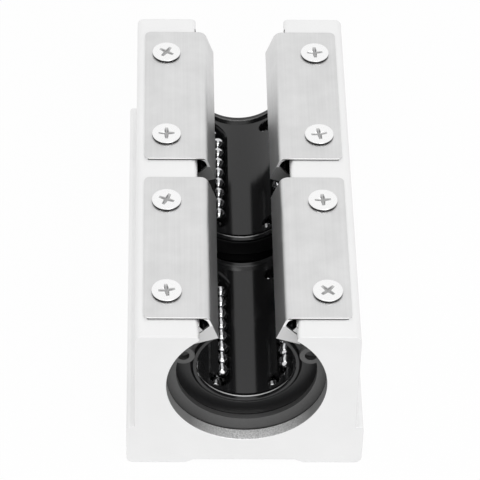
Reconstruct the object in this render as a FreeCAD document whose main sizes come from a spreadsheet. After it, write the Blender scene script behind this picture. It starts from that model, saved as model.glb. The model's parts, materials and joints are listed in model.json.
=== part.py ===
import FreeCAD, Part
import Sketcher
import math
import os

# Long open linear bearing block for a supported round shaft.
# X runs across the block, Y along the shaft and Z up through the open slot.
# The origin is the middle of the mounting face, which lies on Z = 0.

doc = FreeCAD.newDocument("bearing_block")
sheet = doc.addObject("Spreadsheet::Sheet", "dims")

DRIVING_SIZES = {
    # shaft and bearings
    "shaft_diameter": 20.0,
    "ball_diameter": 3.175,
    "bearing_wall": 6.0,
    "bearing_length": 42.0,
    "bearing_gap": 4.0,
    "bearing_fit": 0.02,
    "slot_angle": 74.0,
    "sleeve_rim": 1.3,
    "race_play": 0.025,
    # resin cage and its ball circuits
    "cage_clearance": 0.4,
    "cage_play": 0.1,
    "low_circuit_angle": 35.5,
    "high_circuit_angle": 108.0,
    "row_spread_angle": 11.8,
    "return_rise": 1.2,
    "track_play": 0.1,
    "track_end_wall": 0.6,
    "window_width": 3.1,
    # end seals
    "seal_inset": 1.85,
    "seal_thickness": 1.55,
    "seal_fit": 0.03,
    "lip_stand": 0.4,
    "lip_width": 0.8,
    "lip_groove": 0.5,
    "lip_land": 0.2,
    "lip_bead": 0.4,
    "groove_flare": 0.15,
    # housing extrusion
    "axis_height": 23.0,
    "face_clearance": 1.238,
    "base_width": 48.0,
    "base_step": 1.7,
    "base_height": 10.7,
    "slot_width": 19.2,
    "recess_width": 20.6,
    "recess_run": 1.8,
    "recess_depth": 0.9,
    "corner_radius": 1.5,
    "step_radius": 0.8,
    "slot_radius": 1.0,
    "bore_chamfer": 0.1,
    "mount_spacing_across": 35.0,
    "mount_spacing_along": 70.0,
    "mount_hole_diameter": 5.0,
    "mount_hole_depth": 12.0,
    # retaining rings
    "ring_inset": 2.8,
    "ring_thickness": 1.2,
    "ring_play": 0.05,
    "ring_groove_depth": 0.85,
    "ring_width": 3.9,
    "ring_shift": 1.2,
    "lug_angle": 65.5,
    "lug_diameter": 4.6,
    "lug_depth": 2.85,
    "lug_hole_diameter": 2.5,
    # sheet clips
    "sheet_thickness": 0.5,
    "clip_margin": 1.7,
    "clip_inset": 0.86,
    "clip_corner_radius": 1.2,
    "bend_radius": 1.5,
    "clip_lip_lean_angle": 19.5,
    "clip_lip_height": 0.48,
    "clip_lip_play": 0.17,
    "tab_length": 5.1,
    "tab_height": 3.9,
    "tab_tip_width": 1.5,
    # clip screws
    "screw_wall": 0.81,
    "screw_spacing_along": 26.0,
    "screw_diameter": 3.0,
    "screw_length": 6.0,
    "screw_fit": 0.02,
    "clip_hole_diameter": 3.4,
    "head_diameter": 6.0,
    "head_height": 0.55,
    "head_rim": 0.45,
    "cross_width": 0.8,
    "cross_length": 3.4,
    "cross_depth": 0.35,
}
for row, (alias, number) in enumerate(DRIVING_SIZES.items(), start=1):
    sheet.set(f"A{row}", alias)
    sheet.set(f"B{row}", str(number))
    sheet.setAlias(f"B{row}", alias)
doc.recompute()


class Size:
    """A number together with the sheet expression that drives it."""

    def __init__(self, number, text):
        self.number = number
        self.text = text

    def __add__(self, other):
        other = sized(other)
        return Size(self.number + other.number, f"({self.text} + {other.text})")

    def __sub__(self, other):
        other = sized(other)
        return Size(self.number - other.number, f"({self.text} - {other.text})")

    def __mul__(self, other):
        other = sized(other)
        return Size(self.number * other.number, f"({self.text} * {other.text})")

    def __truediv__(self, other):
        other = sized(other)
        return Size(self.number / other.number, f"({self.text} / {other.text})")

    def __neg__(self):
        return Size(-self.number, f"(-1 * {self.text})")


def sized(value):
    return value if isinstance(value, Size) else Size(float(value), repr(float(value)))


def sine(angle):
    return Size(math.sin(math.radians(angle.number)), f"sin({angle.text} * 1 deg)")


def cosine(angle):
    return Size(math.cos(math.radians(angle.number)), f"cos({angle.text} * 1 deg)")


def tangent(angle):
    return Size(math.tan(math.radians(angle.number)), f"tan({angle.text} * 1 deg)")


def root(size):
    return Size(math.sqrt(size.number), f"sqrt({size.text})")


def dim(alias):
    return Size(sheet.get(alias), f"dims.{alias}")


ZERO = sized(0)
FULL_TURN = sized(360)
HALF_TURN = sized(180)
V = FreeCAD.Vector
TOUCH = 1e-4

shaft_r = dim("shaft_diameter") / 2
ball_r = dim("ball_diameter") / 2
bore_r = shaft_r + dim("bearing_wall")
groove_r = bore_r + dim("ring_groove_depth")
sleeve_r = bore_r - dim("bearing_fit")
seat_r = bore_r - dim("sleeve_rim")
race_r = shaft_r + dim("ball_diameter") + dim("race_play")
bearing_half = dim("bearing_length") / 2
bearing_y = bearing_half + dim("bearing_gap") / 2
bearing_end = bearing_y + bearing_half
housing_half = bearing_end + dim("ring_thickness") + dim("ring_inset")
slot_half_angle = dim("slot_angle") / 2
wrap_angle = FULL_TURN - dim("slot_angle")
axis_height = dim("axis_height")
open_height = sleeve_r * cosine(slot_half_angle) + dim("face_clearance")
body_height = axis_height + open_height
half_base = dim("base_width") / 2
half_body = half_base - dim("base_step")
clip_outer = half_body - dim("clip_margin")
sheet_thickness = dim("sheet_thickness")
screw_y = dim("screw_spacing_along") / 2

# The foot of each clip screw keeps a wall of metal between itself and the bore.
screw_foot = open_height + sheet_thickness - dim("screw_length")
screw_reach = bore_r + dim("screw_wall")
screw_run = root(screw_reach * screw_reach - screw_foot * screw_foot)
screw_x = screw_run + dim("screw_diameter") / 2

# Each ball circuit lies in a plane across a radius of the bearing. Its loaded row
# touches the shaft and its return row runs further out, one row spread to each side.
load_r = shaft_r + ball_r
return_r = load_r + dim("return_rise")
row_spread = dim("row_spread_angle")
load_depth = load_r * cosine(row_spread)
return_depth = return_r * cosine(row_spread)
load_offset = load_r * sine(row_spread)
return_offset = return_r * sine(row_spread)
track_half = (load_offset + return_offset) / 2
track_middle = (load_offset - return_offset) / 2
track_r = ball_r + dim("track_play")
track_floor = return_depth - track_r
seal_back = dim("seal_inset") + dim("seal_thickness")
cage_half = bearing_half - seal_back - dim("cage_play")
row_half = cage_half - dim("track_end_wall") - track_half - track_r

# Every circuit runs the same way round the bearing: its loaded row lies one row spread
# past its middle and its return row one before. Angles are from the bottom, positive
# towards +X.
CIRCUITS = [
    ("lower_right", dim("low_circuit_angle")),
    ("lower_left", -dim("low_circuit_angle")),
    ("upper_right", dim("high_circuit_angle")),
    ("upper_left", -dim("high_circuit_angle")),
]


def new_body(name):
    body = doc.addObject("PartDesign::Body", name)
    body.Label = name
    return body


def put(body, x, y, z, turn=ZERO):
    """Places a sub-part, turned about Z in degrees, at a spot worked out from the sheet."""
    rotation = FreeCAD.Rotation(V(0, 0, 1), turn.number)
    body.Placement = FreeCAD.Placement(V(x.number, y.number, z.number), rotation)
    for axis, size in (("x", x), ("y", y), ("z", z)):
        body.setExpression(f"Placement.Base.{axis}", size.text)


def origin_plane(body, role):
    return next(item for item in body.Origin.OriginFeatures if item.Role == role)


def sketch_on(body, role, name, shift=ZERO):
    """A sketch on one of the body's own planes, moved along the plane's normal."""
    sketch = body.newObject("Sketcher::SketchObject", name)
    sketch.AttachmentSupport = (origin_plane(body, role), [""])
    sketch.MapMode = "FlatFace"
    sketch.AttachmentOffset = FreeCAD.Placement(V(0, 0, shift.number), FreeCAD.Rotation())
    sketch.setExpression("AttachmentOffset.Base.z", shift.text)
    return sketch


def radial_sketch(body, name, angle, depth):
    """A sketch facing outwards across the radius at an angle from the bottom, at a depth from the axis."""
    sketch = sketch_on(body, "XY_Plane", name)
    across = sine(angle) * depth
    down = -(cosine(angle) * depth)
    turn = HALF_TURN - angle
    sketch.AttachmentOffset = FreeCAD.Placement(
        V(across.number, 0, down.number), FreeCAD.Rotation(V(0, 1, 0), turn.number)
    )
    sketch.setExpression("AttachmentOffset.Base.x", across.text)
    sketch.setExpression("AttachmentOffset.Base.z", down.text)
    sketch.setExpression("AttachmentOffset.Rotation.Angle", turn.text)
    return sketch


def bind(sketch, constraint, size):
    index = sketch.addConstraint(constraint)
    sketch.setExpression(f"Constraints[{index}]", size.text)


def pin_point(sketch, geometry, vertex, x, y):
    bind(sketch, Sketcher.Constraint("DistanceX", -1, 1, geometry, vertex, x.number), x)
    bind(sketch, Sketcher.Constraint("DistanceY", -1, 1, geometry, vertex, y.number), y)


def polygon(sketch, corners):
    """A closed outline of straight lines with every corner bound to the sheet."""
    first = sketch.GeometryCount
    count = len(corners)
    spots = [V(x.number, y.number, 0) for x, y in corners]
    for i in range(count):
        sketch.addGeometry(Part.LineSegment(spots[i], spots[(i + 1) % count]), False)
    for i in range(count):
        following = first + (i + 1) % count
        sketch.addConstraint(Sketcher.Constraint("Coincident", first + i, 2, following, 1))
    for i, (x, y) in enumerate(corners):
        pin_point(sketch, first + i, 1, x, y)


def circle(sketch, x, y, radius):
    geometry = sketch.addGeometry(
        Part.Circle(V(x.number, y.number, 0), V(0, 0, 1), radius.number), False
    )
    pin_point(sketch, geometry, 3, x, y)
    bind(sketch, Sketcher.Constraint("Radius", geometry, radius.number), radius)


def stadium(sketch, x, half, radius):
    """Two half circles at (x, half) and (x, -half) joined by tangent lines."""
    first = sketch.GeometryCount
    upper = V(x.number, half.number, 0)
    lower = V(x.number, -half.number, 0)
    reach = V(radius.number, 0, 0)
    upward = V(0, 0, 1)
    pieces = [
        Part.ArcOfCircle(Part.Circle(upper, upward, radius.number), 0, math.pi),
        Part.LineSegment(upper - reach, lower - reach),
        Part.ArcOfCircle(Part.Circle(lower, upward, radius.number), math.pi, 2 * math.pi),
        Part.LineSegment(lower + reach, upper + reach),
    ]
    for piece in pieces:
        sketch.addGeometry(piece, False)
    for i in range(4):
        following = first + (i + 1) % 4
        sketch.addConstraint(Sketcher.Constraint("Tangent", first + i, 2, following, 1))
    pin_point(sketch, first, 3, x, half)
    pin_point(sketch, first + 2, 3, x, -half)
    bind(sketch, Sketcher.Constraint("Radius", first, radius.number), radius)
    sketch.addConstraint(Sketcher.Constraint("Equal", first + 2, first))


def hooked_slot(sketch, x, half, turn_r, radius):
    """A slot along the left half of an oval about x, from the top of one turn to that of the other."""
    first = sketch.GeometryCount
    outer = turn_r + radius
    inner = turn_r - radius
    upward = V(0, 0, 1)

    def arc(height, size, start, stop):
        ring = Part.Circle(V(x.number, height.number, 0), upward, size.number)
        return Part.ArcOfCircle(ring, start * math.pi, stop * math.pi)

    def line(reach, start, stop):
        edge = (x - reach).number
        return Part.LineSegment(V(edge, start.number, 0), V(edge, stop.number, 0))

    top = half + turn_r
    pieces = [
        line(outer, half, -half),
        arc(-half, outer, 1, 1.5),
        arc(-top, radius, -0.5, 0.5),
        arc(-half, inner, 1, 1.5),
        line(inner, -half, half),
        arc(half, inner, 0.5, 1),
        arc(top, radius, -0.5, 0.5),
        arc(half, outer, 0.5, 1),
    ]
    for piece in pieces:
        sketch.addGeometry(piece, False)
    # Pairs of touching ends as (piece, end, next piece, its end); 1 is a start and 2 a stop.
    joins = [(0, 2, 1, 1), (1, 2, 2, 1), (2, 2, 3, 2), (3, 1, 4, 1)]
    joins += [(4, 2, 5, 2), (5, 1, 6, 1), (6, 2, 7, 1), (7, 2, 0, 1)]
    for piece, tip, following, tail in joins:
        sketch.addConstraint(Sketcher.Constraint("Tangent", first + piece, tip, first + following, tail))
    for piece, height in ((1, -half), (2, -top), (3, -half), (5, half), (6, top), (7, half)):
        pin_point(sketch, first + piece, 3, x, height)
    bind(sketch, Sketcher.Constraint("Radius", first + 2, radius.number), radius)
    sketch.addConstraint(Sketcher.Constraint("Equal", first + 6, first + 2))


def extrude(body, kind, name, sketch, length=None, both_ways=False, turned=False):
    """A Pad or a Pocket, to a length from the sheet or through everything."""
    feature = body.newObject(f"PartDesign::{kind}", name)
    feature.Profile = sketch
    if both_ways:
        feature.SideType = "Symmetric"
    feature.Reversed = turned
    if length is None:
        feature.Type = "ThroughAll"
    else:
        feature.Length = length.number
        feature.setExpression("Length", length.text)
    sketch.Visibility = False
    doc.recompute()
    return feature


def revolve(body, kind, name, sketch, axis, angle, both_ways=False):
    feature = body.newObject(f"PartDesign::{kind}", name)
    feature.Profile = sketch
    feature.ReferenceAxis = (sketch, [axis])
    feature.Midplane = both_ways
    feature.Angle = angle.number
    feature.setExpression("Angle", angle.text)
    sketch.Visibility = False
    doc.recompute()
    return feature


def straight_edges(shape, direction, spots):
    """Names of the straight edges that run along a direction through the given spots."""
    names = []
    for number, edge in enumerate(shape.Edges, start=1):
        if len(edge.Vertexes) != 2:
            continue
        start = edge.Vertexes[0].Point
        run = edge.Vertexes[1].Point - start
        if run.Length < TOUCH or run.cross(direction).Length > TOUCH * run.Length:
            continue
        if any((start - spot).cross(direction).Length < TOUCH for spot in spots):
            names.append(f"Edge{number}")
    return names


def fillet(body, name, base, edges, radius):
    feature = body.newObject("PartDesign::Fillet", name)
    feature.Base = (base, edges)
    feature.Radius = radius.number
    feature.setExpression("Radius", radius.text)
    doc.recompute()
    return feature


def make_housing():
    """One aluminium extrusion, sawn to length, bored for both bearings and drilled."""
    body = new_body("housing")
    half_slot = dim("slot_width") / 2
    half_recess = dim("recess_width") / 2
    recess_foot = half_recess + dim("recess_run")
    step = dim("base_height")
    right_side = [
        (half_recess, dim("recess_depth")),
        (recess_foot, ZERO),
        (half_base, ZERO),
        (half_base, step),
        (half_body, step),
        (half_body, body_height),
        (half_slot, body_height),
        (half_slot, axis_height),
    ]
    left_side = [(-x, z) for x, z in reversed(right_side)]
    section = sketch_on(body, "XZ_Plane", "housing_section")
    polygon(section, right_side + left_side)
    block = extrude(body, "Pad", "housing_extrusion", section, housing_half * 2, both_ways=True)

    along_shaft = V(0, 1, 0)
    for label, corners, radius in (
        ("corners", [(half_base, ZERO), (half_body, body_height)], dim("corner_radius")),
        ("steps", [(half_base, step)], dim("step_radius")),
        ("slot_edges", [(half_slot, body_height)], dim("slot_radius")),
    ):
        spots = [V(side * x.number, 0, z.number) for x, z in corners for side in (1, -1)]
        edges = straight_edges(block.Shape, along_shaft, spots)
        block = fillet(body, f"housing_{label}", block, edges, radius)

    bore = sketch_on(body, "XZ_Plane", "housing_bore_circle")
    circle(bore, ZERO, axis_height, bore_r)
    extrude(body, "Pocket", "housing_bore", bore, both_ways=True)

    # Ring grooves and bevelled mouths are turned from the bore's axis.
    turning = sketch_on(body, "YZ_Plane", "housing_turning")
    overcut = dim("bore_chamfer")
    inside = axis_height - bore_r + overcut
    groove_floor = axis_height - groove_r
    groove_inner = bearing_end - dim("ring_play")
    groove_outer = bearing_end + dim("ring_thickness") + dim("ring_play")
    mouth_outer = housing_half + overcut
    mouth_inner = housing_half - overcut * 2
    mouth_low = inside - (mouth_outer - mouth_inner)
    for mirror in (1, -1):
        polygon(
            turning,
            [
                (groove_inner * mirror, inside),
                (groove_outer * mirror, inside),
                (groove_outer * mirror, groove_floor),
                (groove_inner * mirror, groove_floor),
            ],
        )
        polygon(
            turning,
            [
                (mouth_inner * mirror, inside),
                (mouth_outer * mirror, inside),
                (mouth_outer * mirror, mouth_low),
            ],
        )
    axis = sketch_axis(turning, axis_height)
    revolve(body, "Groove", "housing_grooves", turning, axis, FULL_TURN)

    mount_x = dim("mount_spacing_across") / 2
    mount_y = dim("mount_spacing_along") / 2
    mounts = sketch_on(body, "XY_Plane", "mount_hole_circles")
    for side in (1, -1):
        for end in (1, -1):
            circle(mounts, mount_x * side, mount_y * end, dim("mount_hole_diameter") / 2)
    depth = dim("mount_hole_depth")
    extrude(body, "Pocket", "mount_holes", mounts, depth, turned=True)

    taps = sketch_on(body, "XY_Plane", "clip_tap_circles", body_height)
    for x, y in screw_spots():
        circle(taps, x, y, dim("screw_diameter") / 2)
    extrude(body, "Pocket", "clip_taps", taps, dim("screw_length"))
    return body


def sketch_axis(sketch, height):
    """A construction line along the sketch's own X at a height, used as a turning axis."""
    line = Part.LineSegment(V(-1, height.number, 0), V(1, height.number, 0))
    geometry = sketch.addGeometry(line, True)
    pin_point(sketch, geometry, 1, sized(-1), height)
    pin_point(sketch, geometry, 2, sized(1), height)
    return "Axis0"


def screw_spots():
    """Two screws in each clip, either side of the middle of its bearing."""
    return [
        (screw_x * side, bearing_y * end + screw_y * step)
        for side in (-1, 1)
        for end in (-1, 1)
        for step in (-1, 1)
    ]


def make_ring(name, end):
    """Snap ring of constant thickness that narrows towards two lugs with plier holes."""
    body = new_body(name)
    ring_r = groove_r - dim("ring_play")
    thickness = dim("ring_thickness")
    disc = sketch_on(body, "XZ_Plane", f"{name}_disc")
    circle(disc, ZERO, ZERO, ring_r)
    extrude(body, "Pad", f"{name}_blank", disc, thickness, both_ways=True)
    inner = sketch_on(body, "XZ_Plane", f"{name}_inner")
    circle(inner, ZERO, dim("ring_shift"), ring_r - dim("ring_width") + dim("ring_shift"))
    extrude(body, "Pocket", f"{name}_opening", inner, both_ways=True)
    gap = sketch_on(body, "XZ_Plane", f"{name}_gap")
    gap_x = ring_r * tangent(dim("lug_angle"))
    polygon(gap, [(ZERO, ZERO), (gap_x, ring_r), (-gap_x, ring_r)])
    extrude(body, "Pocket", f"{name}_mouth", gap, both_ways=True)
    lug_r = ring_r - dim("lug_depth")
    lug_x = lug_r * sine(dim("lug_angle"))
    lug_z = lug_r * cosine(dim("lug_angle"))
    lugs = sketch_on(body, "XZ_Plane", f"{name}_lugs")
    holes = sketch_on(body, "XZ_Plane", f"{name}_lug_holes")
    for side in (1, -1):
        circle(lugs, lug_x * side, lug_z, dim("lug_diameter") / 2)
        circle(holes, lug_x * side, lug_z, dim("lug_hole_diameter") / 2)
    extrude(body, "Pad", f"{name}_ends", lugs, thickness, both_ways=True)
    extrude(body, "Pocket", f"{name}_holes", holes, both_ways=True)
    put(body, ZERO, (bearing_end + thickness / 2) * end, axis_height)
    return body


def make_sleeve(name, end):
    """Hardened steel sleeve, slotted, with a ball race, return grooves and relieved ends."""
    body = new_body(name)
    section = sketch_on(body, "YZ_Plane", f"{name}_section")
    right_side = [
        (row_half, -race_r),
        (row_half, -seat_r),
        (bearing_half, -seat_r),
        (bearing_half, -sleeve_r),
    ]
    left_side = [(-y, z) for y, z in reversed(right_side)]
    polygon(section, right_side + left_side)
    revolve(body, "Revolution", f"{name}_wall", section, "H_Axis", wrap_angle, both_ways=True)
    returns = sketch_on(body, "XZ_Plane", f"{name}_return_circles")
    for _, middle in CIRCUITS:
        angle = middle - row_spread
        circle(returns, return_r * sine(angle), -(return_r * cosine(angle)), track_r)
    extrude(body, "Pocket", f"{name}_return_grooves", returns, both_ways=True)
    put(body, ZERO, bearing_y * end, axis_height)
    return body


def make_cage(name, end):
    """Moulded resin cage with an oval track for each ball circuit and a window along its loaded side."""
    body = new_body(name)
    cage_r = race_r - dim("cage_play")
    cage_bore_r = shaft_r + dim("cage_clearance")
    section = sketch_on(body, "YZ_Plane", f"{name}_section")
    corners = [(cage_half, -cage_bore_r), (cage_half, -cage_r)]
    corners += [(-y, z) for y, z in reversed(corners)]
    polygon(section, corners)
    revolve(body, "Revolution", f"{name}_wall", section, "H_Axis", wrap_angle, both_ways=True)
    for circuit, middle in CIRCUITS:
        track = radial_sketch(body, f"{name}_{circuit}_oval", middle, track_floor)
        stadium(track, -track_middle, row_half, track_half + track_r)
        stadium(track, -track_middle, row_half, track_half - track_r)
        depth = sleeve_r - track_floor
        extrude(body, "Pocket", f"{name}_{circuit}_track", track, depth, turned=True)
        slit = radial_sketch(body, f"{name}_{circuit}_slit", middle, shaft_r / 2)
        hooked_slot(slit, -track_middle, row_half, track_half, dim("window_width") / 2)
        depth = track_floor - shaft_r / 2 + dim("track_play")
        extrude(body, "Pocket", f"{name}_{circuit}_window", slit, depth, turned=True)
    put(body, ZERO, bearing_y * end, axis_height)
    return body


def make_seal(name, end, facing):
    """Rubber end seal: a flat ring pressed into the sleeve, with a thin lip that leans out to the shaft."""
    body = new_body(name)
    seal_r = seat_r - dim("seal_fit")
    face = dim("seal_inset")
    lip_r = shaft_r + dim("lip_width")
    root_y = face + dim("lip_groove")
    lip_tip = face - dim("lip_stand")
    section = sketch_on(body, "YZ_Plane", f"{name}_section")
    polygon(
        section,
        [
            (face, -seal_r),
            (seal_back, -seal_r),
            (seal_back, -lip_r),
            (lip_tip + dim("lip_land"), -shaft_r),
            (lip_tip, -shaft_r),
            (lip_tip, -(shaft_r + dim("lip_bead"))),
            (root_y, -lip_r),
            (face, -(lip_r + dim("groove_flare"))),
        ],
    )
    revolve(body, "Revolution", f"{name}_ring", section, "H_Axis", wrap_angle, both_ways=True)
    turn = ZERO if facing < 0 else HALF_TURN
    put(body, ZERO, bearing_y * end + bearing_half * facing, axis_height, turn)
    return body


def along(spot, direction, distance):
    return tuple(start + step * distance for start, step in zip(spot, direction))


def make_clip(name, side, end):
    """Folded sheet clip: a flange on the open face, a lip in the bearing's slot and a tab at each end."""
    body = new_body(name)
    lean = dim("clip_lip_lean_angle")
    upward = (sine(lean), cosine(lean))
    outward = (cosine(lean), -sine(lean))
    slot_along = (sine(slot_half_angle), cosine(slot_half_angle))
    slot_across = (-cosine(slot_half_angle), sine(slot_half_angle))
    slot_edge = along((ZERO, ZERO), slot_along, shaft_r + dim("clip_lip_height"))
    lip_back = along(slot_edge, slot_across, dim("clip_lip_play"))
    lip_front = along(lip_back, outward, -sheet_thickness)
    top = open_height + sheet_thickness
    corner_front = (lip_front[0] + (top - lip_front[1]) * tangent(lean), top)
    corner_back = (lip_back[0] + (open_height - lip_back[1]) * tangent(lean), open_height)
    clip_half = bearing_half - dim("clip_inset")

    section = sketch_on(body, "XZ_Plane", f"{name}_section")
    flange_edge = [(clip_outer, open_height), (clip_outer, top)]
    polygon(section, flange_edge + [corner_front, lip_front, lip_back, corner_back])
    sheet_body = extrude(body, "Pad", f"{name}_sheet", section, clip_half * 2, both_ways=True)
    along_shaft = V(0, 1, 0)
    for label, corner, radius in (
        ("outer_bend", corner_front, dim("bend_radius") + sheet_thickness),
        ("inner_bend", corner_back, dim("bend_radius")),
    ):
        spots = [V(corner[0].number, 0, corner[1].number)]
        edges = straight_edges(sheet_body.Shape, along_shaft, spots)
        sheet_body = fillet(body, f"{name}_{label}", sheet_body, edges, radius)
    spots = [V(clip_outer.number, clip_half.number * way, 0) for way in (1, -1)]
    edges = straight_edges(sheet_body.Shape, V(0, 0, 1), spots)
    fillet(body, f"{name}_corners", sheet_body, edges, dim("clip_corner_radius"))

    # A tapered tab is folded out from each end of the lip and hides the end of the cage's slot.
    tab_foot = along(lip_front, outward, dim("tab_length"))
    tab_head = along(lip_front, upward, dim("tab_height"))
    tab_corners = [
        lip_front,
        tab_foot,
        along(tab_foot, upward, dim("tab_tip_width")),
        along(tab_head, outward, sheet_thickness),
        tab_head,
    ]
    for label, way in (("front", -1), ("rear", 1)):
        blank = sketch_on(body, "XZ_Plane", f"{name}_{label}_tab_blank", clip_half * -way)
        polygon(blank, tab_corners)
        extrude(body, "Pad", f"{name}_{label}_tab", blank, sheet_thickness, turned=way < 0)

    holes = sketch_on(body, "XY_Plane", f"{name}_hole_circles")
    for step in (-1, 1):
        circle(holes, screw_x, screw_y * step, dim("clip_hole_diameter") / 2)
    extrude(body, "Pocket", f"{name}_holes", holes, both_ways=True)
    turn = ZERO if side > 0 else HALF_TURN
    put(body, ZERO, bearing_y * end, axis_height, turn)
    return body


# The cross recesses stop at whatever angle each screw was driven to, in degrees.
SCREW_TURNS = [8.0, 66.0, 0.0, 57.0, 45.0, 4.0, 9.0, 3.0]


def make_screw(name, x, y, turn):
    """Low flat-headed screw: a bevelled head with a cross recess on a plain shank."""
    body = new_body(name)
    head_r = dim("head_diameter") / 2
    crown_r = head_r - (dim("head_height") - dim("head_rim"))
    shank_r = dim("screw_diameter") / 2 - dim("screw_fit")
    section = sketch_on(body, "XZ_Plane", f"{name}_section")
    polygon(
        section,
        [
            (ZERO, -dim("screw_length")),
            (shank_r, -dim("screw_length")),
            (shank_r, ZERO),
            (head_r, ZERO),
            (head_r, dim("head_rim")),
            (crown_r, dim("head_height")),
            (ZERO, dim("head_height")),
        ],
    )
    revolve(body, "Revolution", f"{name}_turned", section, "V_Axis", FULL_TURN)
    cross = sketch_on(body, "XY_Plane", f"{name}_cross", dim("head_height"))
    near = dim("cross_width") / 2
    far = dim("cross_length") / 2
    quarter = [(far, -near), (far, near), (near, near)]
    corners = list(quarter)
    for _ in range(3):
        quarter = [(-v, u) for u, v in quarter]
        corners += quarter
    polygon(cross, corners)
    extrude(body, "Pocket", f"{name}_recess", cross, dim("cross_depth"))
    put(body, x, y, body_height + sheet_thickness, turn)
    return body


def make_screws(name):
    """The eight clip screws, alike, as one group of separate solids."""
    screws = [
        make_screw(f"clip_screw_{number}", x, y, sized(turn))
        for number, ((x, y), turn) in enumerate(zip(screw_spots(), SCREW_TURNS), start=1)
    ]
    group = doc.addObject("Part::Compound", name)
    group.Label = name
    group.Links = screws
    doc.recompute()
    return group


GOLDEN = (1 + math.sqrt(5)) / 2
BALL_CORNERS = [
    V(*spot).normalize()
    for a in (-1, 1)
    for b in (-GOLDEN, GOLDEN)
    for spot in ((0, a, b), (a, b, 0), (b, 0, a))
]


def ball(centre, radius):
    """A ball as the regular twenty-sided solid whose corners lie on it."""
    corners = [centre + corner * radius for corner in BALL_CORNERS]
    edge = 2 * radius / math.sqrt(1 + GOLDEN**2)
    faces = []
    count = len(corners)
    for i in range(count):
        for j in range(i + 1, count):
            for k in range(j + 1, count):
                trio = (corners[i], corners[j], corners[k])
                sides = [(trio[n] - trio[n - 1]).Length for n in range(3)]
                if max(sides) < edge + TOUCH:
                    faces.append(Part.Face(Part.makePolygon([*trio, trio[0]])))
    solid = Part.Solid(Part.Shell(faces))
    solid.fix(TOUCH, TOUCH, TOUCH)
    return solid


def circuit_spots():
    """Ball centres of one circuit as (offset, run, depth): two straight rows and two round turns."""
    pitch = dim("ball_diameter").number + dim("race_play").number
    half = row_half.number
    in_row = int(2 * half / pitch) + 1
    runs = [pitch * (i - (in_row - 1) / 2) for i in range(in_row)]
    rows = [(load_offset.number, run, load_depth.number) for run in runs]
    rows += [(-return_offset.number, run, return_depth.number) for run in runs]
    lead = half - runs[-1]
    way_round = 2 * lead + math.pi * track_half.number
    in_turn = int(way_round / pitch) - 1
    for i in range(1, in_turn + 1):
        sweep = (way_round * i / (in_turn + 1) - lead) / track_half.number
        offset = track_middle.number + track_half.number * math.cos(sweep)
        run = half + track_half.number * math.sin(sweep)
        rows += [(offset, run, return_depth.number), (offset, -run, return_depth.number)]
    return rows


def make_balls(name, middle, end):
    """The balls of one circuit, trapped loosely between the cage's track and the sleeve."""
    tilt = math.radians(middle.number)
    outward = V(math.sin(tilt), 0, -math.cos(tilt))
    across = V(math.cos(tilt), 0, math.sin(tilt))
    balls = []
    for offset, run, depth in circuit_spots():
        centre = outward * depth + across * offset + V(0, run, 0)
        balls.append(ball(centre, ball_r.number))
    group = doc.addObject("Part::Feature", name)
    group.Label = name
    group.Shape = Part.makeCompound(balls)
    put(group, ZERO, bearing_y * end, axis_height)
    return group


ENDS = [("front", -1), ("rear", 1)]
SIDES = [("left", -1), ("right", 1)]

nodes = [make_housing()]
for place, end in ENDS:
    nodes.append(make_sleeve(f"{place}_sleeve", end))
    nodes.append(make_cage(f"{place}_cage", end))
    for circuit, middle in CIRCUITS:
        nodes.append(make_balls(f"{place}_{circuit}_balls", middle, end))
    nodes.append(make_seal(f"{place}_outer_seal", end, end))
    nodes.append(make_seal(f"{place}_inner_seal", end, -end))
    nodes.append(make_ring(f"{place}_retaining_ring", end))
    for hand, side in SIDES:
        nodes.append(make_clip(f"{place}_{hand}_clip", side, end))
nodes.append(make_screws("clip_screws"))
doc.recompute()

for item in doc.Objects:
    if "Invalid" in item.State or "Error" in item.State:
        raise RuntimeError(f"{item.Label} did not rebuild: {item.State}")
for node in nodes:
    if node.Shape.isNull() or not node.Shape.isValid():
        raise RuntimeError(f"{node.Label} has no valid shape")

os.makedirs("parts", exist_ok=True)
for node in nodes:
    node.Shape.exportStep(os.path.join("parts", f"{node.Label}.step"))
    print(node.Label, len(node.Shape.Solids), round(node.Shape.Volume, 2))
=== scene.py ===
import json
import math

import bmesh
import bpy
import numpy as np
from mathutils import Matrix


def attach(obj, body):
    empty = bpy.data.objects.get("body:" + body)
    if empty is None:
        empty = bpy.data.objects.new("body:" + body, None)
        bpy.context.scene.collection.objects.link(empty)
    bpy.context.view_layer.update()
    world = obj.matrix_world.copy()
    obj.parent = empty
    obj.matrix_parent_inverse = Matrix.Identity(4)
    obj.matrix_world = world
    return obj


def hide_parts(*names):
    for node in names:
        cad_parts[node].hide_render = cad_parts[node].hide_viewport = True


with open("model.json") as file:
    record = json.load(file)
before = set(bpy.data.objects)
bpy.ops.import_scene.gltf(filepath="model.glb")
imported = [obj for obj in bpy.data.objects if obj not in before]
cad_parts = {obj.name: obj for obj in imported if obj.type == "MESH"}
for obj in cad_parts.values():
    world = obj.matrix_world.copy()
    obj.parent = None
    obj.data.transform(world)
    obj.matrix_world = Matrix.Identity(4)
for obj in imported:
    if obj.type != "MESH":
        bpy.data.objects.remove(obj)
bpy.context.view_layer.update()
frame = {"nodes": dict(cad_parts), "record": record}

# The housing is one length of aluminium extrusion, sawn, bored for the bearings and
# drilled, then finely blasted and clear anodised. The bore's mouths keep their turning
# marks, with painted shade up their sides; between the bearings the bore is painted near
# black as shade.

MM = 0.001
HOUSING_COLOUR = "#F4F4F4"
HOUSING_SHADE = "#EEEEEE"
MOUTH_COLOUR = "#FAFAFA"
MOUTH_PIT_COLOUR = "#CECECE"
# Painted shade up the sides of the bore's mouths.
MOUTH_PAINTED_SHADE = "#9A9A9A"
# Painted shade: the bore beyond the mouths, between the bearings, is near black.
BORE_GAP_SHADE = "#151515"
HOUSING_EDGE = 0.15 * MM
BORE_RADIUS = 16.05 * MM
# The turned mouths reach from the ends in to this distance from the middle.
MOUTH_FROM = 45.42 * MM
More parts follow.
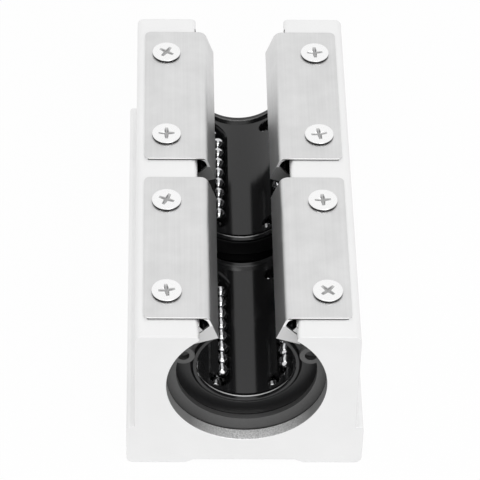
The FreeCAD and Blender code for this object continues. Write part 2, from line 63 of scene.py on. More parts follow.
# The real grain and turning marks are finer: these are as coarse as they need to show.
BLAST_GRAIN = 0.35 * MM
TURNING_PITCH = 0.30 * MM
GRAIN_DEPTH = 0.02 * MM
CLOUD_SIZE = 9.0 * MM
# Painted shade darkens the mouths up their sides, a little higher on the right.
SHADE_FOOT = 7.3 * MM
SHADE_FULL = 12.5 * MM
SHADE_SLANT = (-0.1, 0, 1)
nodes = frame["nodes"]
bore_axis_z = frame["record"]["mounts"][0]["pos_m"][2]


def linear(hex_colour):
    """sRGB hex to linear RGBA: c / 12.92 near black, else ((c + 0.055) / 1.055) to the power 2.4."""
    srgb = [int(hex_colour[i : i + 2], 16) / 255 for i in (1, 3, 5)]
    rgb = [c / 12.92 if c <= 0.04045 else ((c + 0.055) / 1.055) ** 2.4 for c in srgb]
    return (*rgb, 1.0)


def add_node(tree, kind, settings=None, **inputs):
    """Adds a node; settings are its properties, inputs its sockets by name or _number, set or linked."""
    node = tree.nodes.new(kind)
    for name, value in (settings or {}).items():
        setattr(node, name, value)
    for name, value in inputs.items():
        key = int(name[1:]) if name[0] == "_" else name.replace("_", " ")
        socket = node.inputs[key]
        if isinstance(value, bpy.types.NodeSocket):
            tree.links.new(value, socket)
        else:
            socket.default_value = value
    return node


def new_material(name):
    """An empty node material with its Principled shader, tree and object coordinates."""
    material = bpy.data.materials.new(name)
    material.use_nodes = True
    tree = material.node_tree
    shader = tree.nodes["Principled BSDF"]
    place = add_node(tree, "ShaderNodeTexCoord").outputs["Object"]
    return material, tree, shader, place


def dress(material, *names):
    """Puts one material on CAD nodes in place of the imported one."""
    for name in names:
        nodes[name].data.materials.clear()
        nodes[name].data.materials.append(material)


def reach_from_axis(tree, place):
    """Distance from the bore axis: the length of (x, 0, z - axis)."""
    flat = {"operation": "MULTIPLY_ADD"}
    spoke = add_node(
        tree, "ShaderNodeVectorMath", flat, _0=place, _1=(1, 0, 1), _2=(0, 0, -bore_axis_z)
    )
    return add_node(
        tree, "ShaderNodeVectorMath", {"operation": "LENGTH"}, _0=spoke.outputs[0]
    ).outputs["Value"]


def anodised_aluminium():
    """Blasted faces are pale and even; inside the bore, fine turning rings catch the light, painted
    shade darkens the mouths' sides and beyond the mouths the bore is painted near black as shade.
    """
    material, tree, shader, place = new_material("blasted_anodised_aluminium")
    reach = reach_from_axis(tree, place)
    bored = add_node(
        tree, "ShaderNodeMath", {"operation": "LESS_THAN"}, _0=reach, _1=BORE_RADIUS
    ).outputs[0]
    run = add_node(tree, "ShaderNodeSeparateXYZ", Vector=place).outputs["Y"]
    from_middle = add_node(tree, "ShaderNodeMath", {"operation": "ABSOLUTE"}, _0=run).outputs[0]
    mouth = add_node(
        tree, "ShaderNodeMath", {"operation": "GREATER_THAN"}, _0=from_middle, _1=MOUTH_FROM
    ).outputs[0]
    grain = add_node(
        tree, "ShaderNodeTexNoise", Vector=place, Scale=1 / BLAST_GRAIN, Detail=3.0
    ).outputs[0]
    cloud = add_node(
        tree, "ShaderNodeTexNoise", Vector=place, Scale=1 / CLOUD_SIZE, Detail=2.0
    ).outputs[0]
    waves = 2 * math.pi / TURNING_PITCH
    phase = add_node(tree, "ShaderNodeMath", {"operation": "MULTIPLY"}, _0=run, _1=waves)
    ridge = add_node(tree, "ShaderNodeMath", {"operation": "SINE"}, _0=phase.outputs[0]).outputs[0]
    chatter = add_node(tree, "ShaderNodeMath", {"operation": "ADD"}, _0=ridge, _1=grain).outputs[0]
    colours = {"data_type": "RGBA"}
    pale = add_node(
        tree, "ShaderNodeMix", colours, Factor=cloud, _6=linear(HOUSING_SHADE), _7=linear(HOUSING_COLOUR)
    ).outputs[2]
    torn = add_node(
        tree, "ShaderNodeMapRange", Value=grain, From_Min=0.35, From_Max=0.65
    ).outputs[0]
    cut = add_node(
        tree, "ShaderNodeMix", colours, Factor=torn, _6=linear(MOUTH_PIT_COLOUR), _7=linear(MOUTH_COLOUR)
    ).outputs[2]
    # Painted shade: the mouths darken up their sides.
    aslant = {"operation": "DOT_PRODUCT"}
    height = add_node(
        tree, "ShaderNodeVectorMath", aslant, _0=place, _1=SHADE_SLANT
    ).outputs["Value"]
    side_shade = add_node(
        tree, "ShaderNodeMapRange", Value=height, From_Min=SHADE_FOOT, From_Max=SHADE_FULL
    ).outputs[0]
    shaded_mouth = add_node(
        tree, "ShaderNodeMix", colours, Factor=side_shade, _6=cut, _7=linear(MOUTH_PAINTED_SHADE)
    ).outputs[2]
    # Beyond the mouths the bore is painted near black as shade.
    turned = add_node(
        tree, "ShaderNodeMix", colours, Factor=mouth, _6=linear(BORE_GAP_SHADE), _7=shaded_mouth
    ).outputs[2]
    colour = add_node(tree, "ShaderNodeMix", colours, Factor=bored, _6=pale, _7=turned).outputs[2]
    relief = add_node(tree, "ShaderNodeMix", Factor=bored, _2=grain, _3=chatter).outputs[0]
    edges = add_node(tree, "ShaderNodeBevel", {"samples": 6}, Radius=HOUSING_EDGE).outputs[0]
    normal = add_node(
        tree, "ShaderNodeBump", Strength=0.12, Distance=GRAIN_DEPTH, Height=relief, Normal=edges
    ).outputs[0]
    metal = add_node(tree, "ShaderNodeMapRange", Value=bored, To_Min=0.85, To_Max=0.4).outputs[0]
    tree.links.new(colour, shader.inputs["Base Color"])
    tree.links.new(metal, shader.inputs["Metallic"])
    tree.links.new(normal, shader.inputs["Normal"])
    shader.inputs["Roughness"].default_value = 0.5
    return material


dress(anodised_aluminium(), "housing")

# Each bearing has a hardened steel sleeve, slotted for the rail, ground bright all over.
# Only its end faces and the edges of its slot show, painted dark as shade between the bearings.

SLEEVE_COLOUR = "#BDBDBD"
# Painted shade on the sleeves between the bearings.
SLEEVE_GAP_SHADE = "#3C3C3C"
# Real grinding marks are finer: these are as coarse as they need to show.
SCRATCH_SIZE = 0.6 * MM
# Metal between the bearings, this far to each side of the middle, is painted darker as shade.
GAP_HALF = 8.0 * MM


def between_bearings(tree, place):
    """1 up to GAP_HALF from the middle along Y, else 0."""
    run = add_node(tree, "ShaderNodeSeparateXYZ", Vector=place).outputs["Y"]
    return add_node(
        tree, "ShaderNodeMath", {"operation": "COMPARE"}, _0=run, _1=0.0, _2=GAP_HALF
    ).outputs[0]


def ground_steel():
    """Ground steel: bright, with fine scratches that soften its reflections, and painted dark as shade
    between the bearings.
    """
    material, tree, shader, place = new_material("ground_bearing_steel")
    scratches = add_node(
        tree, "ShaderNodeTexNoise", Vector=place, Scale=1 / SCRATCH_SIZE, Detail=4.0
    )
    rough = add_node(
        tree, "ShaderNodeMapRange", Value=scratches.outputs[0], To_Min=0.08, To_Max=0.16
    ).outputs[0]
    # Painted shade: darker between the bearings.
    colour = add_node(
        tree,
        "ShaderNodeMix",
        {"data_type": "RGBA"},
        Factor=between_bearings(tree, place),
        _6=linear(SLEEVE_COLOUR),
        _7=linear(SLEEVE_GAP_SHADE),
    ).outputs[2]
    tree.links.new(colour, shader.inputs["Base Color"])
    tree.links.new(rough, shader.inputs["Roughness"])
    shader.inputs["Metallic"].default_value = 1.0
    return material


dress(ground_steel(), "front_sleeve", "rear_sleeve")

# The cages are black resin mouldings, polished where they face the shaft, with an oval
# track for each ball circuit and a window through which its loaded row shows.

CAGE_COLOUR = "#1F1F20"
WAVE_SIZE = 4.0 * MM
WAVE_HEIGHT = 0.02 * MM


def polished_resin():
    """Polished black resin: a dark body under a clear, nearly mirror-like reflection."""
    material, tree, shader, place = new_material("polished_black_resin")
    waves = add_node(tree, "ShaderNodeTexNoise", Vector=place, Scale=1 / WAVE_SIZE, Detail=1.0)
    bump = add_node(
        tree, "ShaderNodeBump", Strength=0.05, Distance=WAVE_HEIGHT, Height=waves.outputs[0]
    )
    tree.links.new(bump.outputs[0], shader.inputs["Normal"])
    shader.inputs["Base Color"].default_value = linear(CAGE_COLOUR)
    shader.inputs["Roughness"].default_value = 0.12
    shader.inputs["IOR"].default_value = 1.46
    return material


dress(polished_resin(), "front_cage", "rear_cage")

# The balls are polished chrome steel, trapped between cage and sleeve in eight circuits.
# Those in each circuit's front turn, past the ends of its two straight rows, are a darker grey.

BALL_COLOUR = "#D2D2D4"
TURN_BALL_COLOUR = "#8C8C8D"
BALL_CELLS = 3
MARK_SIZE = 1.2 * MM
BEARING_MIDDLE = 23.0 * MM
ROW_HALF = 12.8 * MM
SAME_POINT = 1e-7
SHARP_ANGLE = math.radians(35)


def cube_sphere(cells):
    """A unit sphere from six square grids: each point (1, tan a, tan b) of a face at length 1."""
    slope = np.tan(np.linspace(-math.pi / 4, math.pi / 4, cells + 1))
    a, b = np.meshgrid(slope, slope, indexing="ij")
    face = np.stack([np.ones_like(a), a, b], axis=-1)
    face /= np.linalg.norm(face, axis=-1, keepdims=True)
    turned = [np.roll(face, shift, axis=-1) for shift in range(3)]
    return np.stack(turned + [-side[:, ::-1] for side in turned])


def grid_faces(rows, columns, wrap=False):
    """Quads of a grid of points numbered row by row; wrap joins the last column to the first."""
    index = np.arange(rows * columns).reshape(rows, columns)
    if wrap:
        index = np.concatenate([index, index[:, :1]], axis=1)
    corners = (index[:-1, :-1], index[1:, :-1], index[1:, 1:], index[:-1, 1:])
    return np.stack(corners, axis=-1).reshape(-1, 4)


def smooth_piece(name, points, faces, material, tint):
    """A closed piece on the root, doubled points merged; tint is each point's share of the piece's
    second colour.
    """
    mesh = bpy.data.meshes.new(name)
    mesh.from_pydata(points.reshape(-1, 3), [], faces)
    mesh.attributes.new("tint", "FLOAT", "POINT").data.foreach_set("value", tint.ravel())
    work = bmesh.new()
    work.from_mesh(mesh)
    bmesh.ops.remove_doubles(work, verts=work.verts, dist=SAME_POINT)
    bmesh.ops.dissolve_degenerate(work, edges=work.edges, dist=SAME_POINT)
    bmesh.ops.recalc_face_normals(work, faces=work.faces)
    work.to_mesh(mesh)
    work.free()
    mesh.shade_smooth()
    mesh.set_sharp_from_angle(angle=SHARP_ANGLE)
    mesh.materials.append(material)
    piece = bpy.data.objects.new(name, mesh)
    bpy.context.scene.collection.objects.link(piece)
    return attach(piece, "root")


def corner_points(node):
    """The corners of a node's triangles, as an array of triangle, corner and coordinate."""
    mesh = node.data
    places = np.empty(len(mesh.vertices) * 3, np.float32)
    mesh.vertices.foreach_get("co", places)
    order = np.empty(len(mesh.loops), np.int32)
    mesh.loops.foreach_get("vertex_index", order)
    return places.reshape(-1, 3)[order].reshape(-1, 3, 3).astype(float)


def ball_centres(node):
    """Centre and radius of each twenty-sided ball: from a face's middle, inwards along its normal.

    The radius to the corners is edge times sqrt(10 + 2 sqrt 5) / 4.
    """
    corners = corner_points(node)
    edge = np.linalg.norm(corners[0, 1] - corners[0, 0])
    radius = edge * math.sqrt(10 + 2 * math.sqrt(5)) / 4
    middle = corners.mean(axis=1)
    normal = np.cross(corners[:, 1] - corners[:, 0], corners[:, 2] - corners[:, 0])
    normal /= np.linalg.norm(normal, axis=1, keepdims=True)
    depth = math.sqrt(radius**2 - edge**2 / 3)
    centres = middle - normal * depth
    apart = np.linalg.norm(centres[:, None] - centres[None], axis=2)
    first = np.unique((apart < radius).argmax(axis=1))
    return centres[first], radius


def chrome_steel():
    """Lapped chrome steel: a clear mirror, slightly soft from handling, and a darker grey in the front
    turns.
    """
    material, tree, shader, place = new_material("lapped_chrome_steel")
    marks = add_node(tree, "ShaderNodeTexNoise", Vector=place, Scale=1 / MARK_SIZE, Detail=2.0)
    rough = add_node(
        tree, "ShaderNodeMapRange", Value=marks.outputs[0], To_Min=0.02, To_Max=0.05
    ).outputs[0]
    in_turn = add_node(tree, "ShaderNodeAttribute", {"attribute_name": "tint"}).outputs["Fac"]
    colour = add_node(
        tree,
        "ShaderNodeMix",
        {"data_type": "RGBA"},
        Factor=in_turn,
        _6=linear(BALL_COLOUR),
        _7=linear(TURN_BALL_COLOUR),
    ).outputs[2]
    tree.links.new(colour, shader.inputs["Base Color"])
    tree.links.new(rough, shader.inputs["Roughness"])
    shader.inputs["Metallic"].default_value = 1.0
    return material


ball_material = chrome_steel()
unit_ball = cube_sphere(BALL_CELLS)
for name in sorted(nodes):
    if not name.endswith("_balls"):
        continue
    centres, radius = ball_centres(nodes[name])
    points = centres[:, None, None, None] + unit_ball[None] * radius
    sides = len(centres) * len(unit_ball)
    cell_faces = grid_faces(BALL_CELLS + 1, BALL_CELLS + 1)
    faces = cell_faces[None] + (np.arange(sides) * (BALL_CELLS + 1) ** 2)[:, None, None]
    faces = faces.reshape(-1, 4).tolist()
    run = centres[:, 1]
    turning = run - np.sign(run) * BEARING_MIDDLE < -ROW_HALF
    turn_tint = np.repeat(turning.astype(float), unit_ball.size // 3)
    balls = smooth_piece(name.replace("_balls", "_ball_row"), points, faces, ball_material, turn_tint)
    spots = np.empty(len(balls.data.vertices) * 3, np.float32)
    balls.data.vertices.foreach_get("co", spots)
    spots = spots.reshape(-1, 1, 3) - centres
    nearest = np.linalg.norm(spots, axis=2).argmin(axis=1)
    balls.data.normals_split_custom_set_from_vertices(spots[np.arange(len(spots)), nearest] / radius)
    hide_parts(name)

# The end seals are moulded black rubber, pressed into the sleeve's ends. Each has a thin
# lip, divided from the flat face by a groove, that leans out and wipes the shaft.

SEAL_COLOUR = "#1B1B1C"
SEAL_HALF_WRAP = math.radians(143)
LIP_RADIUS = 10.6 * MM
LIP_BLEND = 0.1 * MM
# The real skin is finer: its grain is as coarse as it needs to show.
SKIN_GRAIN = 0.25 * MM
SKIN_DEPTH = 0.02 * MM
# Painted highlight: the bright arc along the back edge of each lip.
LIP_HIGHLIGHT_COLOUR = "#EDEDED"
THIN_HIGHLIGHT = 0.08
CORNER_STEPS = 5
SEAL_STEPS = 144
# Corners of the section as distance behind the lip's edge, radius and corner rounding, in mm,
# and which of them carry the painted highlight, along the back edge of the lip.
SEAL_SECTION = np.array(
    [
        (0.40, 14.67, 0.06),
        (1.95, 14.67, 0.10),
        (1.95, 10.80, 0.10),
        (1.18, 10.075, 0.02),
        (1.10, 10.00, 0.05),
        (0.86, 10.00, 0.02),
        (0.78, 10.00, 0.02),
        (0.00, 10.00, 0.10),
        (0.00, 10.70, 0.12),
        (0.85, 10.92, 0.10),
        (0.40, 11.20, 0.16),
    ]
) * MM
SEAL_HIGHLIGHT = np.repeat([0, 0, 0, 0, 1, 1, 0, 0, 0, 0, 0], CORNER_STEPS)


def rounded(corners):
    """A closed outline whose corners P, cut off at A and B, are curves (1-t)^2 A + 2t(1-t) P + t^2 B."""
    spots, cuts = corners[:, :2], corners[:, 2:]
    back = np.roll(spots, 1, axis=0) - spots
    ahead = np.roll(spots, -1, axis=0) - spots
    start = spots + cuts * back / np.linalg.norm(back, axis=1, keepdims=True)
    stop = spots + cuts * ahead / np.linalg.norm(ahead, axis=1, keepdims=True)
    t = np.linspace(0, 1, CORNER_STEPS)[:, None, None]
    curve = (1 - t) ** 2 * start + 2 * t * (1 - t) * spots + t**2 * stop
    return curve.transpose(1, 0, 2).reshape(-1, 2)


def slotted_ring(section, edge_y, facing, highlight_reach):
    """A section swept round the bore axis but for the slot: (r sin a, edge - facing d, axis - r cos a).

    The painted highlight is full at the bottom, where cos a is 1, and thins to THIN_HIGHLIGHT by
    highlight_reach degrees.
    """
    angle = np.linspace(-SEAL_HALF_WRAP, SEAL_HALF_WRAP, SEAL_STEPS + 1)[:, None]
    distance, radius = section.T
    x = radius * np.sin(angle)
    y = np.broadcast_to(edge_y - facing * distance, x.shape)
    points = np.stack([x, y, bore_axis_z - radius * np.cos(angle)], axis=-1)
    count = len(section)
    faces = grid_faces(SEAL_STEPS + 1, count, wrap=True).tolist()
    faces += [list(range(count)), list(range(SEAL_STEPS * count, (SEAL_STEPS + 1) * count))]
    dry = math.cos(math.radians(highlight_reach))
    return points, faces, np.clip((np.cos(angle) - dry) / (1 - dry), THIN_HIGHLIGHT, 1) * SEAL_HIGHLIGHT


def moulded_rubber():
    """Moulded rubber: satin black with a fine, even skin, smooth along the edge of the lip, which
    carries a near-white painted highlight.
    """
    material, tree, shader, place = new_material("moulded_nitrile_rubber")
    reach = reach_from_axis(tree, place)
    skin_rough = add_node(
        tree,
        "ShaderNodeMapRange",
        Value=reach,
        From_Min=LIP_RADIUS,
        From_Max=LIP_RADIUS + LIP_BLEND,
        To_Min=0.18,
        To_Max=0.45,
    ).outputs[0]
    skin = add_node(tree, "ShaderNodeTexNoise", Vector=place, Scale=1 / SKIN_GRAIN, Detail=3.0)
    bump = add_node(
        tree, "ShaderNodeBump", Strength=0.15, Distance=SKIN_DEPTH, Height=skin.outputs[0]
    )
    # Painted highlight: near-white along the lip's back edge.
    lip_highlight = add_node(tree, "ShaderNodeAttribute", {"attribute_name": "tint"}).outputs["Fac"]
    colours = {"data_type": "RGBA"}
    colour = add_node(
        tree, "ShaderNodeMix", colours, Factor=lip_highlight, _6=linear(SEAL_COLOUR), _7=linear(LIP_HIGHLIGHT_COLOUR)
    ).outputs[2]
    tree.links.new(colour, shader.inputs["Base Color"])
    tree.links.new(bump.outputs[0], shader.inputs["Normal"])
    tree.links.new(skin_rough, shader.inputs["Roughness"])
    return material


seal_material = moulded_rubber()
seal_outline = rounded(SEAL_SECTION)
# Which way each seal's lip faces along Y, how strong its painted highlight is and how far up it reaches.
for name, facing, highlight_strength, highlight_reach in (
    ("front_outer_seal", -1, 1.0, 62),
    ("front_inner_seal", 1, 0.08, 24),
    ("rear_inner_seal", -1, 1.0, 25),
    ("rear_outer_seal", 1, 0.25, 62),
):
    run = corner_points(nodes[name])[..., 1]
    edge_y = run.max() if facing > 0 else run.min()
    points, faces, tint = slotted_ring(seal_outline, edge_y, facing, highlight_reach)
    seal = smooth_piece(name.replace("seal", "wiper"), points, faces, seal_material, tint * highlight_strength)
    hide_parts(name)

# The retaining rings are stamped spring steel with a dark phosphate finish. Each springs
# into a groove in the bore and has two lugs with holes for the pliers.

RING_COLOUR = "#5E5E5E"
RING_SHADE = "#525252"
RING_EDGE = 0.12 * MM
# Real crystals are finer: these are as coarse as they need to show.
CRYSTAL_SIZE = 0.3 * MM


def phosphated_steel():
    """Phosphated spring steel: dark grey, matt, with a slightly mottled crystal skin."""
    material, tree, shader, place = new_material("phosphated_spring_steel")
    crystals = add_node(
        tree, "ShaderNodeTexNoise", Vector=place, Scale=1 / CRYSTAL_SIZE, Detail=4.0
    )
    colour = add_node(
        tree,
        "ShaderNodeMix",
        {"data_type": "RGBA"},
        Factor=crystals.outputs[0],
        _6=linear(RING_SHADE),
        _7=linear(RING_COLOUR),
    ).outputs[2]
    edges = add_node(tree, "ShaderNodeBevel", {"samples": 6}, Radius=RING_EDGE).outputs[0]
    tree.links.new(colour, shader.inputs["Base Color"])
    tree.links.new(edges, shader.inputs["Normal"])
    shader.inputs["Metallic"].default_value = 0.5
    shader.inputs["Roughness"].default_value = 0.45
    return material


dress(phosphated_steel(), "front_retaining_ring", "rear_retaining_ring")

# The clips are folded stainless sheet: a flange on the open face, a lip down into the
# bearing's slot and a tab over each seal. A painted shadow lies along the foot of the
# flange's ends, and the tabs are painted darker as shade, most between the bearings.

CLIP_COLOUR = "#EAEAEA"
CLIP_STREAK = "#C8C8C8"
# Painted highlight on the sheared ends above the tabs.
SHEARED_HIGHLIGHT_COLOUR = "#F6F6F6"
# Painted shade: the tabs are darker than the flange, and darker still between the bearings.
TAB_SHADE_COLOUR = "#CECECE"
TAB_GAP_SHADE = "#8A8A8A"
# Painted shadow: the dark line along the foot of the flange's ends.
FOOT_SHADOW_COLOUR = "#3A3A3A"
CLIP_EDGE = 0.08 * MM
TAB_TOP = 35.0 * MM
FLANGE_FOOT = 37.1 * MM
END_FACING = 0.9
FOOT_SHADOW_HALF = 0.14 * MM
# Real rolling streaks are finer: these are as coarse as they need to show.
STREAK_SIZE = (0.5 * MM, 40.0 * MM, 0.5 * MM)
STREAK_DEPTH = 0.01 * MM
SMUDGE_SIZE = 5.0 * MM


def rolled_stainless():
    """Rolled stainless sheet: faint streaks along the rolling, sheared ends with a painted highlight,
    tabs painted darker as shade.
    """
    material, tree, shader, place = new_material("rolled_stainless_sheet")
    stretch = add_node(
        tree, "ShaderNodeMapping", Vector=place, Scale=[1 / size for size in STREAK_SIZE]
    )
    streaks = add_node(
        tree, "ShaderNodeTexNoise", Vector=stretch.outputs[0], Scale=1.0, Detail=4.0
    ).outputs[0]
    smudges = add_node(
        tree, "ShaderNodeTexNoise", Vector=place, Scale=1 / SMUDGE_SIZE, Detail=3.0
    ).outputs[0]
    marks = add_node(tree, "ShaderNodeMix", Factor=0.6, _2=streaks, _3=smudges).outputs[0]
    facing = add_node(tree, "ShaderNodeNewGeometry").outputs["True Normal"]
    facing_y = add_node(tree, "ShaderNodeSeparateXYZ", Vector=facing).outputs["Y"]
    endways = add_node(tree, "ShaderNodeMath", {"operation": "ABSOLUTE"}, _0=facing_y).outputs[0]
    end_face = add_node(
        tree, "ShaderNodeMath", {"operation": "GREATER_THAN"}, _0=endways, _1=END_FACING
    ).outputs[0]
    height = add_node(tree, "ShaderNodeSeparateXYZ", Vector=place).outputs["Z"]
    # Painted shadow: a thin dark line along the foot of each end face.
    near_foot = add_node(
        tree, "ShaderNodeMath", {"operation": "COMPARE"}, _0=height, _1=FLANGE_FOOT, _2=FOOT_SHADOW_HALF
    ).outputs[0]
    foot_shadow = add_node(
        tree, "ShaderNodeMath", {"operation": "MULTIPLY"}, _0=end_face, _1=near_foot
    ).outputs[0]
    above_tab = add_node(
        tree, "ShaderNodeMath", {"operation": "GREATER_THAN"}, _0=height, _1=TAB_TOP
    ).outputs[0]
    # Painted highlight: the sheared ends above the tabs are near-white.
    sheared = add_node(
        tree, "ShaderNodeMath", {"operation": "MULTIPLY"}, _0=end_face, _1=above_tab
    ).outputs[0]
    tab_face = add_node(
        tree, "ShaderNodeMath", {"operation": "SUBTRACT"}, _0=end_face, _1=sheared
    ).outputs[0]
    colours = {"data_type": "RGBA"}
    bright = add_node(
        tree, "ShaderNodeMix", colours, Factor=marks, _6=linear(CLIP_STREAK), _7=linear(CLIP_COLOUR)
    ).outputs[2]
    # Painted shade on the tab faces, darkest between the bearings.
    tab = add_node(
        tree,
        "ShaderNodeMix",
        colours,
        Factor=between_bearings(tree, place),
        _6=linear(TAB_SHADE_COLOUR),
        _7=linear(TAB_GAP_SHADE),
    ).outputs[2]
    tabbed = add_node(tree, "ShaderNodeMix", colours, Factor=tab_face, _6=bright, _7=tab).outputs[2]
    edged = add_node(
        tree, "ShaderNodeMix", colours, Factor=sheared, _6=tabbed, _7=linear(SHEARED_HIGHLIGHT_COLOUR)
    ).outputs[2]
    colour = add_node(
        tree, "ShaderNodeMix", colours, Factor=foot_shadow, _6=edged, _7=linear(FOOT_SHADOW_COLOUR)
    )
    edges = add_node(tree, "ShaderNodeBevel", {"samples": 6}, Radius=CLIP_EDGE).outputs[0]
    normal = add_node(
        tree, "ShaderNodeBump", Strength=0.1, Distance=STREAK_DEPTH, Height=streaks, Normal=edges
    ).outputs[0]
    metal = add_node(tree, "ShaderNodeMapRange", Value=end_face, To_Min=1.0, To_Max=0.35).outputs[0]
    tree.links.new(colour.outputs[2], shader.inputs["Base Color"])
    tree.links.new(metal, shader.inputs["Metallic"])
    tree.links.new(normal, shader.inputs["Normal"])
    shader.inputs["Roughness"].default_value = 0.38
    return material


dress(rolled_stainless(), "front_left_clip", "front_right_clip", "rear_left_clip", "rear_right_clip")

# The clip screws have low, flat heads with a cross recess and are bright zinc plated.
# Painted shade darkens the recess and the side of the head, where it meets the clip.

SCREW_COLOUR = "#F6F6F6"
# Painted shade in the recess and on the side of the head.
SCREW_SHADE_COLOUR = "#262626"
HEAD_RADIUS = 3.0 * MM
HEAD_HEIGHT = 0.55 * MM
SHANK_RADIUS = 1.48 * MM
SHANK_LENGTH = 6.0 * MM
ARM_WIDTH = 1.0 * MM
TIP_WIDTH = 0.6 * MM
ARM_REACH = 1.7 * MM
RECESS_DEPTH = 0.35 * MM
FLOOR_SHARE = 0.6
MOUTH_SHARE = 0.97
MOUTH_DEPTH = 0.05 * MM
MOUTH_EDGE = 0.03 * MM
HEAD_FLAT = 2.1 * MM
HEAD_EDGE = 0.1 * MM
UNSHADED_FROM = 0.40 * MM
SHADED_BELOW = 0.34 * MM
PLATE_MARKS = 0.8 * MM
TIP_POINTS = 3
FLANK_POINTS = 5
EDGE_POINTS = 5
# Angles of the recesses, from the front to the back of the left row and then the right row.
SCREW_TURNS = np.radians([8, 66, 0, 57, 45, 4, 9, 3])


def cross_outline(angle):
    """Polar outline of a cross: the lesser of reach / far and half width / (near + taper far)."""
    far = np.maximum(abs(np.cos(angle)), abs(np.sin(angle)))
    near = np.minimum(abs(np.cos(angle)), abs(np.sin(angle)))
    taper = (ARM_WIDTH - TIP_WIDTH) / 2 / ARM_REACH
    return np.minimum(ARM_REACH / far, ARM_WIDTH / 2 / (near + taper * far))


def screw_form():
    """Rings of a screw about Z, seat at 0, from the recess's floor over the head to the tip.

    Each ring is a radius at every angle, a height and a share of painted shade.
    """
    tip_angle = math.atan2(TIP_WIDTH / 2, ARM_REACH)
    tip = np.linspace(0, tip_angle, TIP_POINTS)
    flank = np.linspace(tip_angle, math.pi / 4, FLANK_POINTS)
    half = np.concatenate([tip, flank[1:]])
    quarter = np.concatenate([half, (math.pi / 2 - half[::-1])[1:-1]])
    angle = (quarter + np.arange(4)[:, None] * math.pi / 2).ravel()
    cross = cross_outline(angle)
    flat = np.ones_like(angle)
    top = HEAD_HEIGHT
    bend = np.linspace(0, math.pi / 2, EDGE_POINTS)
    rim = HEAD_RADIUS - HEAD_EDGE
    # The third number of each ring is its share of painted shade.
    rings = [(0 * flat, top - RECESS_DEPTH, 0.6), (cross * FLOOR_SHARE, top - RECESS_DEPTH, 0.55)]
    rings += [(cross * MOUTH_SHARE, top - MOUTH_DEPTH, 0.4), (cross + MOUTH_EDGE, top, 0.0)]
    rings += [(flat * HEAD_FLAT, top, 0.0)]
    rings += [
        (flat * (rim + HEAD_EDGE * np.sin(b)), top - HEAD_EDGE * (1 - np.cos(b)), 0.0) for b in bend
    ]
    rings += [(flat * HEAD_RADIUS, UNSHADED_FROM, 0.1), (flat * HEAD_RADIUS, SHADED_BELOW, 1.0)]
    rings += [(flat * HEAD_RADIUS, 0.0, 1.0), (flat * SHANK_RADIUS, 0.0, 1.0)]
    rings += [(flat * SHANK_RADIUS, -SHANK_LENGTH, 1.0), (0 * flat, -SHANK_LENGTH, 1.0)]
    radius = np.array([ring for ring, _, _ in rings])
    height = np.array([level for _, level, _ in rings])[:, None]
    shade_share = np.array([head_shade for _, _, head_shade in rings])[:, None]
    return angle, radius, np.broadcast_to(height, radius.shape), np.broadcast_to(shade_share, radius.shape)


def shank_places(node):
    """Middle of each shank's end, lowest in the node, in rows from left to right and front to back.

    Corners less than 2.5 radii apart belong to one shank.
    """
    corners = corner_points(node).reshape(-1, 3)
    ends = corners[corners[:, 2] < corners[:, 2].min() + 10 * SAME_POINT, :2]
    apart = np.linalg.norm(ends[:, None] - ends[None], axis=2)
    group = (apart < 2.5 * SHANK_RADIUS).argmax(axis=1)
    shanks = [ends[group == g] for g in np.unique(group)]
    middles = [(shank.min(axis=0) + shank.max(axis=0)) / 2 for shank in shanks]
    return sorted(middles, key=lambda spot: (spot[0] > 0, spot[1]))


def zinc_plate():
    """Bright zinc plate: a pale, clear metal, painted dark as shade in the recess and on the side of the
    head.
    """
    material, tree, shader, place = new_material("bright_zinc_plate")
    marks = add_node(
        tree, "ShaderNodeTexNoise", Vector=place, Scale=1 / PLATE_MARKS, Detail=2.0
    ).outputs[0]
    rough = add_node(tree, "ShaderNodeMapRange", Value=marks, To_Min=0.2, To_Max=0.32).outputs[0]
    shade_share = add_node(tree, "ShaderNodeAttribute", {"attribute_name": "tint"}).outputs["Fac"]
    # Painted shade: dark in the recess and on the side of the head.
    colour = add_node(
        tree,
        "ShaderNodeMix",
        {"data_type": "RGBA"},
        Factor=shade_share,
        _6=linear(SCREW_COLOUR),
        _7=linear(SCREW_SHADE_COLOUR),
    ).outputs[2]
    tree.links.new(colour, shader.inputs["Base Color"])
    tree.links.new(rough, shader.inputs["Roughness"])
    shader.inputs["Metallic"].default_value = 1.0
    return material


angle, radius, height, shade_share = screw_form()
seat_z = corner_points(nodes["clip_screws"])[..., 2].min() + SHANK_LENGTH
shapes = [
    np.stack(
        [x + radius * np.cos(angle + turn), y + radius * np.sin(angle + turn), seat_z + height], axis=-1
    )
    for (x, y), turn in zip(shank_places(nodes["clip_screws"]), SCREW_TURNS)
]
one_screw = grid_faces(*radius.shape, wrap=True)
faces = np.concatenate([one_screw + radius.size * i for i in range(len(shapes))]).tolist()
head_shade = np.array([shade_share] * len(shapes))
screws = smooth_piece("cross_head_screws", np.array(shapes), faces, zinc_plate(), head_shade)
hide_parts("clip_screws")

# The block stands on a plain white floor in a soft white surround, so that its metal
# mirrors white on every side and the black bore mirrors it only through the slot.

FLOOR_HALF = 1500.0 * MM
FLOOR_COLOUR = "#F4F4F4"
SURROUND_LIGHT = 0.72
FLOOR_GLOW = 0.95


def seen_directly(tree):
    """1 for rays from the camera, mirror-like rays and rays through glass, else 0."""
    ray = add_node(tree, "ShaderNodeLightPath").outputs
    either = {"operation": "MAXIMUM"}
    seen = add_node(
        tree, "ShaderNodeMath", either, _0=ray["Is Camera Ray"], _1=ray["Is Glossy Ray"]
    )
    return add_node(
        tree, "ShaderNodeMath", either, _0=seen.outputs[0], _1=ray["Is Transmission Ray"]
    ).outputs[0]


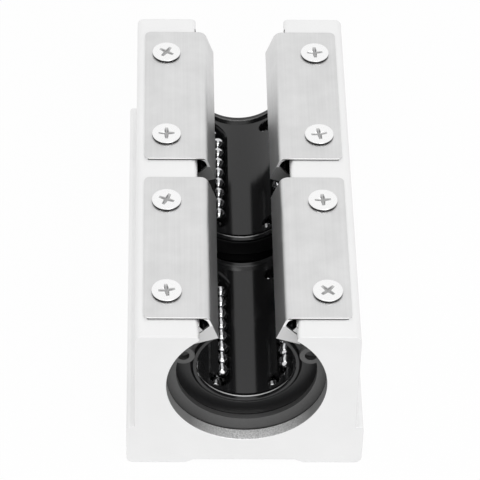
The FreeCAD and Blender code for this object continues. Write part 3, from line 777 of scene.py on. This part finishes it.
floor_points = np.array([(-1, -1, 0), (1, -1, 0), (1, 1, 0), (-1, 1, 0)]) * FLOOR_HALF
floor_mesh = bpy.data.meshes.new("studio_floor")
floor_mesh.from_pydata(floor_points, [], [(0, 1, 2, 3)])
floor = bpy.data.objects.new("studio_floor", floor_mesh)
bpy.context.scene.collection.objects.link(floor)
floor_material, tree, shader, place = new_material("white_studio_floor")
shader.inputs["Base Color"].default_value = linear(FLOOR_COLOUR)
shader.inputs["Roughness"].default_value = 0.9
glow = add_node(tree, "ShaderNodeEmission", Strength=1.0)
share = add_node(
    tree, "ShaderNodeMath", {"operation": "MULTIPLY"}, _0=seen_directly(tree), _1=FLOOR_GLOW
)
blend = add_node(
    tree, "ShaderNodeMixShader", _0=share.outputs[0], _1=shader.outputs[0], _2=glow.outputs[0]
)
tree.links.new(blend.outputs[0], tree.nodes["Material Output"].inputs["Surface"])
floor_mesh.materials.append(floor_material)

world = bpy.data.worlds.new("white_surround")
world.use_nodes = True
bpy.context.scene.world = world
tree = world.node_tree
ambient = tree.nodes["Background"]
ambient.inputs["Color"].default_value = (1, 1, 1, 1)
ambient.inputs["Strength"].default_value = SURROUND_LIGHT
white = add_node(tree, "ShaderNodeBackground", Color=(1, 1, 1, 1), Strength=1.0)
blend = add_node(
    tree, "ShaderNodeMixShader", _0=seen_directly(tree), _1=ambient.outputs[0], _2=white.outputs[0]
)
tree.links.new(blend.outputs[0], tree.nodes["World Output"].inputs["Surface"])

# A soft lamp stands in front and a narrow one hangs above: place, turn, size and power,
# in metres, degrees and watts.
LAMPS = [
    ("front_lamp", (0.25, -0.60, 0.45), (53.0, 0.0, 22.6), (0.40, 0.30), 1.1),
    ("overhead_lamp", (0.0, -0.36, 0.80), (24.2, 0.0, 0.0), (0.80, 0.05), 1.2),
]
for name, lamp_place, lamp_turn, lamp_size, power in LAMPS:
    light = bpy.data.lights.new(name, "AREA")
    light.shape = "RECTANGLE"
    light.size, light.size_y = lamp_size
    light.energy = power
    lamp = bpy.data.objects.new(name, light)
    lamp.location = lamp_place
    lamp.rotation_euler = [math.radians(angle) for angle in lamp_turn]
    bpy.context.scene.collection.objects.link(lamp)

# The camera looks down the shaft from above the front end, as in the photograph. Its
# place, angles and focal length come from a fit to the block's corners and edges.

CAMERA_PLACE = np.array([-18.36, -439.97, 449.5]) * MM
CAMERA_PITCH = math.radians(44.52)
CAMERA_YAW = math.radians(-2.35)
CAMERA_ROLL = math.radians(1.85)
FOCAL_PIXELS = 2909.5
IMAGE_PIXELS = 480.0
SENSOR = 36.0

turn = Matrix.Rotation(CAMERA_YAW, 4, "Z") @ Matrix.Rotation(math.pi / 2 - CAMERA_PITCH, 4, "X")
camera_data = bpy.data.cameras.new("camera")
camera_data.sensor_width = SENSOR
camera_data.lens = FOCAL_PIXELS * SENSOR / IMAGE_PIXELS
camera_data.clip_start = 0.05
camera_data.clip_end = 10.0
camera = bpy.data.objects.new("camera", camera_data)
camera.matrix_world = Matrix.Translation(CAMERA_PLACE) @ turn @ Matrix.Rotation(CAMERA_ROLL, 4, "Z")
bpy.context.scene.collection.objects.link(camera)
bpy.context.scene.camera = camera
bpy.context.scene.view_settings.view_transform = "Standard"
